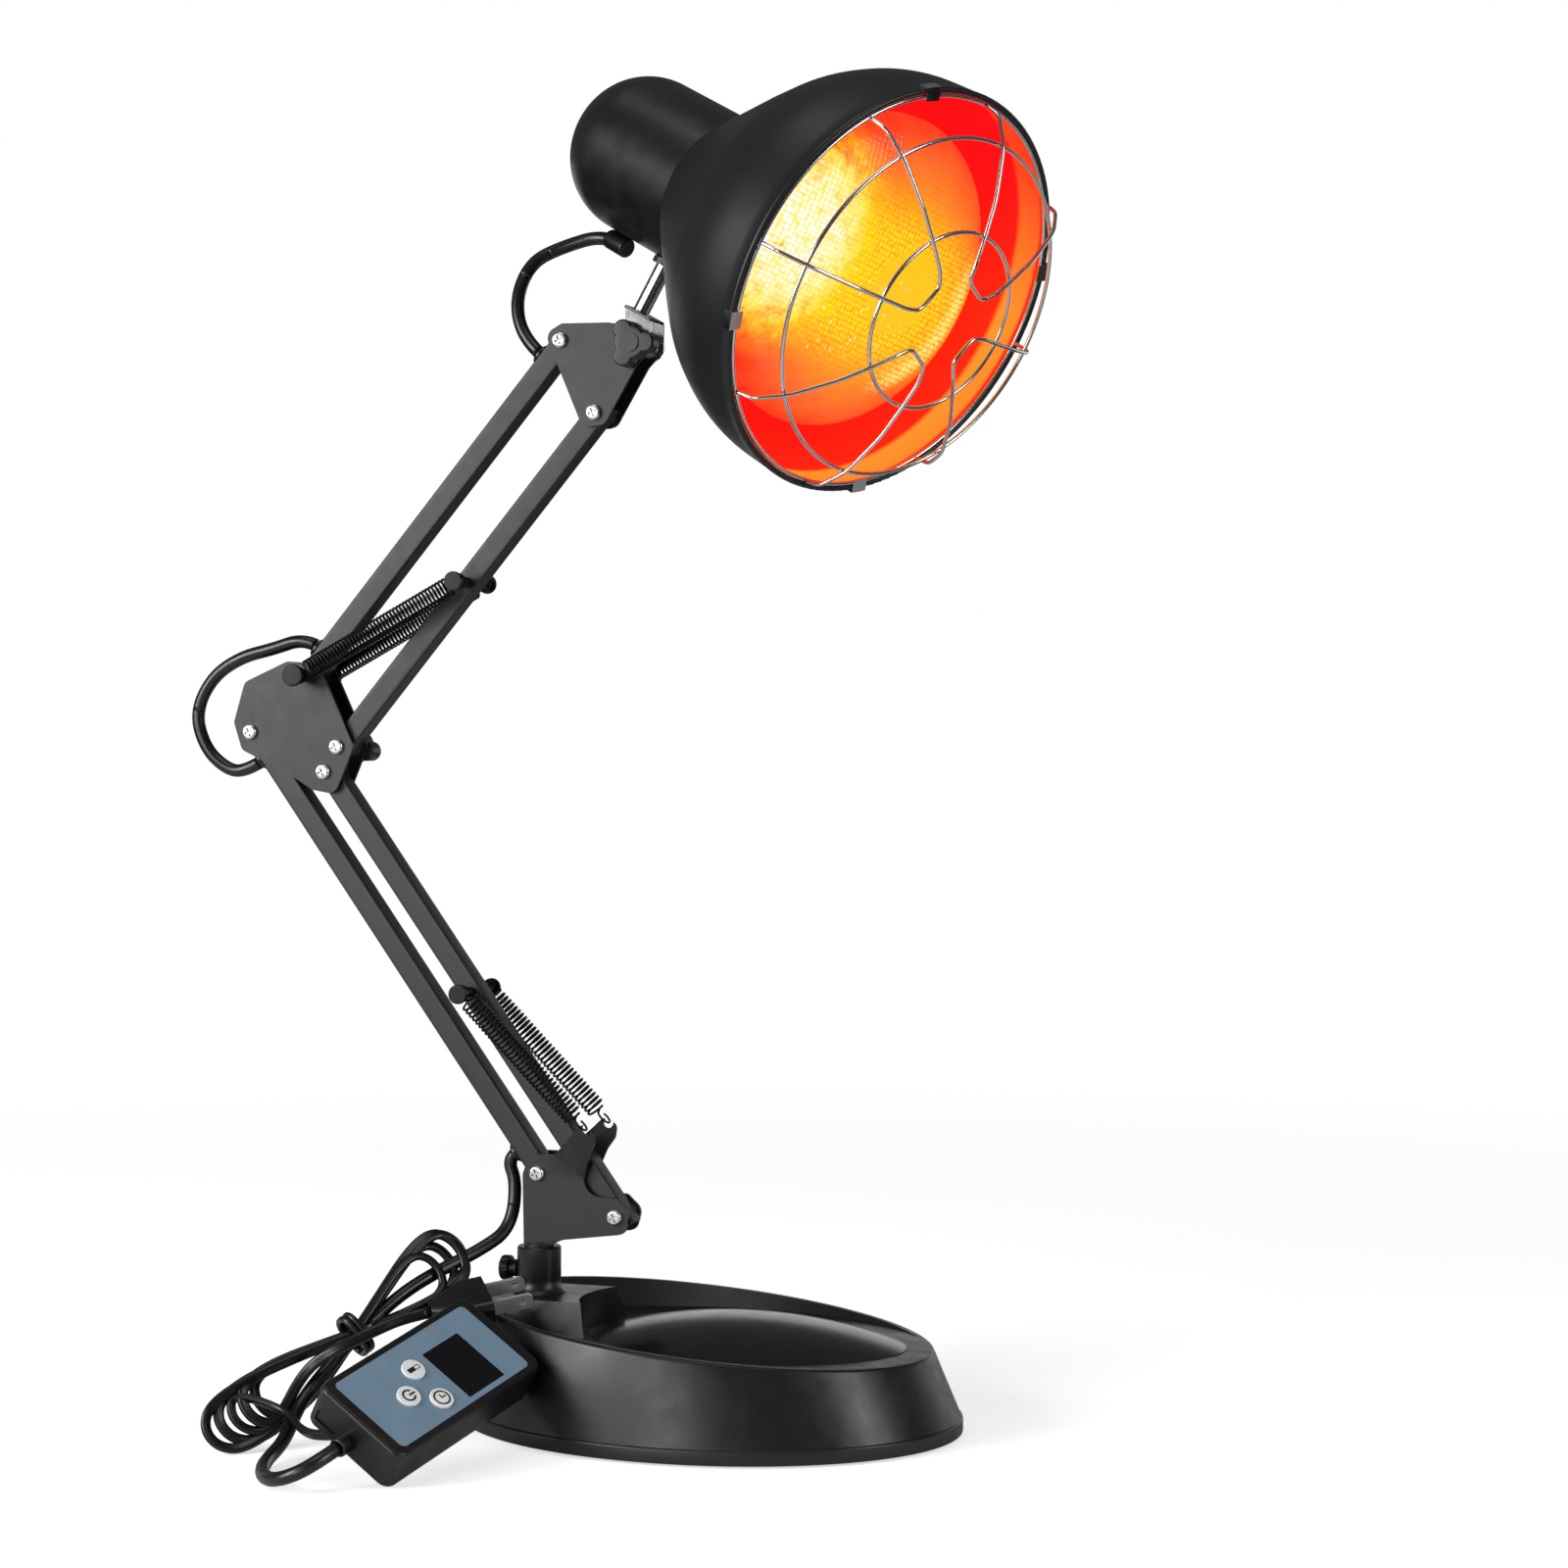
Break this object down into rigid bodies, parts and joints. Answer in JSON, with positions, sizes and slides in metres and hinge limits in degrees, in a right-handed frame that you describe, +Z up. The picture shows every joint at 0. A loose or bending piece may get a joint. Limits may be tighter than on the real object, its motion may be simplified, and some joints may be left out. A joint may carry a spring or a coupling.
{
  "type": "infrared heat therapy lamp",
  "caption": "Infrared heat lamp with a round shade and wire guard on a spring-balanced double arm, weighted oval base and a wired hand controller",
  "frame": {"origin": "on the floor under the axis of the arm's post", "axes": "+X forward along the base and the arm plane, +Z up, +Y to the lamp's left; the hand controller lies on the -Y side"},
  "size_m": [0.3861, 0.2481, 0.558],
  "materials": {
    "black_plastic": "satin black moulded ABS",
    "dome_gloss": "smooth black, slightly glossier",
    "cast_weight": "raw cast iron",
    "foot_rubber": "dull dark rubber",
    "powder_black": "fine powder coat, satin",
    "shade_enamel": "satin black outside, white enamel reflector inside",
    "bright_screws": "bright plated pan heads",
    "chrome": "polished plating",
    "pin_black": "black oxide turned steel",
    "spring_steel": "black-grey drawn wire",
    "cord_rubber": "smooth black jacket",
    "knob_black": "hard black plastic",
    "bulb_glass": "red infrared glass",
    "cap_brass": "nickel washed screw cap",
    "holder_ceramic": "glazed white porcelain",
    "panel_blue": "printed blue grey overlay",
    "display_black": "dark clear window",
    "button_white": "satin white cap",
    "board_green": "soldermask",
    "blade_steel": "nickel plated blades"
  },
  "bodies": {
    "base": {"base_cover": "black_plastic", "base_dome": "dome_gloss", "base_weight": "cast_weight", "base_bottom_plate": "black_plastic", "base_feet": "foot_rubber", "post_socket": "black_plastic", "lamp_lead": "cord_rubber", "cord_hank": "cord_rubber", "cord_tie": "cord_rubber", "controller_cord": "cord_rubber", "plug_cord": "cord_rubber", "plug_body": "cord_rubber", "plug_blades": "blade_steel", "controller_case": "black_plastic", "controller_cover": "black_plastic", "label_panel": "panel_blue", "display_window": "display_black", "control_board": "board_green"},
    "thumbscrew": {"post_thumbscrew": "knob_black"},
    "lower_bracket": {"lower_bracket_frame": "powder_black", "lower_bracket_fasteners": "bright_screws", "lamp_lead_top": "cord_rubber"},
    "lower_rear_arm": {"lower_rear_tube": "powder_black", "lower_tube_grommets": "cord_rubber", "lower_inner_cord": "cord_rubber"},
    "lower_front_arm": {"lower_front_tube": "powder_black", "lower_spring_peg": "pin_black", "lower_springs": "spring_steel"},
    "elbow": {"elbow_plates": "powder_black", "elbow_fasteners": "bright_screws", "elbow_spring_pin": "pin_black", "elbow_loop_cord": "cord_rubber"},
    "elbow_tightener": {"elbow_knob": "knob_black"},
    "upper_rear_arm": {"upper_rear_tube": "powder_black", "upper_tube_grommets": "cord_rubber", "upper_inner_cord": "cord_rubber"},
    "upper_front_arm": {"upper_front_tube": "powder_black", "upper_spring_peg": "pin_black", "upper_springs": "spring_steel"},
    "head_bracket": {"head_plates": "powder_black", "head_fasteners": "bright_screws", "head_loop_cord": "cord_rubber"},
    "tilt_tightener": {"star_knob": "knob_black"},
    "yoke": {"tilt_yoke": "chrome", "swivel_rod": "chrome"},
    "head": {"rod_bushing": "knob_black", "socket_housing": "black_plastic", "housing_lower_cover": "black_plastic", "cord_gland": "cord_rubber", "lampholder": "holder_ceramic", "bulb_cap": "cap_brass", "bulb_glass": "bulb_glass", "shade": "shade_enamel", "guard_rim_ring": "chrome", "guard_rings": "chrome", "guard_petals": "chrome", "guard_clips": "chrome"},
    "temperature_key": {"button_temperature": "button_white"},
    "power_key": {"button_power": "button_white"},
    "timer_key": {"button_timer": "button_white"}
  },
  "joints": [
    {"name": "arm_swivel", "type": "hinge", "parent": "base", "child": "lower_bracket", "pos_m": [0, 0, 0.06], "axis": [0, 0, 1], "range_deg": [-120, 150], "deforming": ["lamp_lead"]},
    {"name": "thumbscrew_turn", "type": "hinge", "parent": "base", "child": "thumbscrew", "pos_m": [-0.0092, 0, 0.0598], "axis": [-1, 0, 0], "continuous": true},
    {"name": "lower_arm_lean", "type": "hinge", "parent": "lower_bracket", "child": "lower_rear_arm", "pos_m": [0.00234, 0, 0.10126], "axis": [0, 1, 0], "range_deg": [-10, 60], "deforming": ["lamp_lead_top"]},
    {"name": "lower_front_pivot", "type": "hinge", "parent": "lower_bracket", "child": "lower_front_arm", "pos_m": [0.03699, 0, 0.08441], "axis": [0, 1, 0], "range_deg": [-10, 60], "deforming": ["lower_springs"]},
    {"name": "elbow_level", "type": "hinge", "parent": "lower_rear_arm", "child": "elbow", "pos_m": [-0.13057, 0, 0.28528], "axis": [0, 1, 0], "range_deg": [-60, 10], "deforming": ["elbow_loop_cord"]},
    {"name": "upper_arm_lean", "type": "hinge", "parent": "elbow", "child": "upper_rear_arm", "pos_m": [-0.10464, 0, 0.3093], "axis": [0, 1, 0], "range_deg": [-35, 45]},
    {"name": "upper_front_pivot", "type": "hinge", "parent": "elbow", "child": "upper_front_arm", "pos_m": [-0.08969, 0, 0.27905], "axis": [0, 1, 0], "range_deg": [-35, 45], "deforming": ["upper_springs"]},
    {"name": "head_bracket_level", "type": "hinge", "parent": "upper_rear_arm", "child": "head_bracket", "pos_m": [0.01312, 0, 0.44767], "axis": [0, 1, 0], "range_deg": [-45, 35], "deforming": ["head_loop_cord"]},
    {"name": "head_tilt", "type": "hinge", "parent": "head_bracket", "child": "yoke", "pos_m": [0.04752, 0, 0.44457], "axis": [0, 1, 0], "range_deg": [-30, 20]},
    {"name": "head_swivel", "type": "hinge", "parent": "yoke", "child": "head", "pos_m": [0.05994, 0, 0.48347], "axis": [0.4894, 0, 0.8721], "range_deg": [-40, 86]},
    {"name": "tilt_knob_turn", "type": "hinge", "parent": "head_bracket", "child": "tilt_tightener", "pos_m": [0.04752, -0.012, 0.44457], "axis": [0, -1, 0], "continuous": true},
    {"name": "elbow_knob_turn", "type": "hinge", "parent": "elbow", "child": "elbow_tightener", "pos_m": [-0.08969, 0.011, 0.27905], "axis": [0, 1, 0], "continuous": true},
    {"name": "temperature_press", "type": "slide", "parent": "base", "child": "temperature_key", "axis": [-0.4988, 0.356, -0.7902], "range_m": [0, 0.0005], "stiffness_N_per_m": 400, "springref_m": -0.0006},
    {"name": "power_press", "type": "slide", "parent": "base", "child": "power_key", "axis": [-0.4988, 0.356, -0.7902], "range_m": [0, 0.0005], "stiffness_N_per_m": 400, "springref_m": -0.0006},
    {"name": "timer_press", "type": "slide", "parent": "base", "child": "timer_key", "axis": [-0.4988, 0.356, -0.7902], "range_m": [0, 0.0005], "stiffness_N_per_m": 400, "springref_m": -0.0006}
  ],
  "couplings": [
    {"joint": "lower_front_pivot", "follows": "lower_arm_lean", "ratio": 1},
    {"joint": "elbow_level", "follows": "lower_arm_lean", "ratio": -1},
    {"joint": "upper_front_pivot", "follows": "upper_arm_lean", "ratio": 1},
    {"joint": "head_bracket_level", "follows": "upper_arm_lean", "ratio": -1}
  ]
}
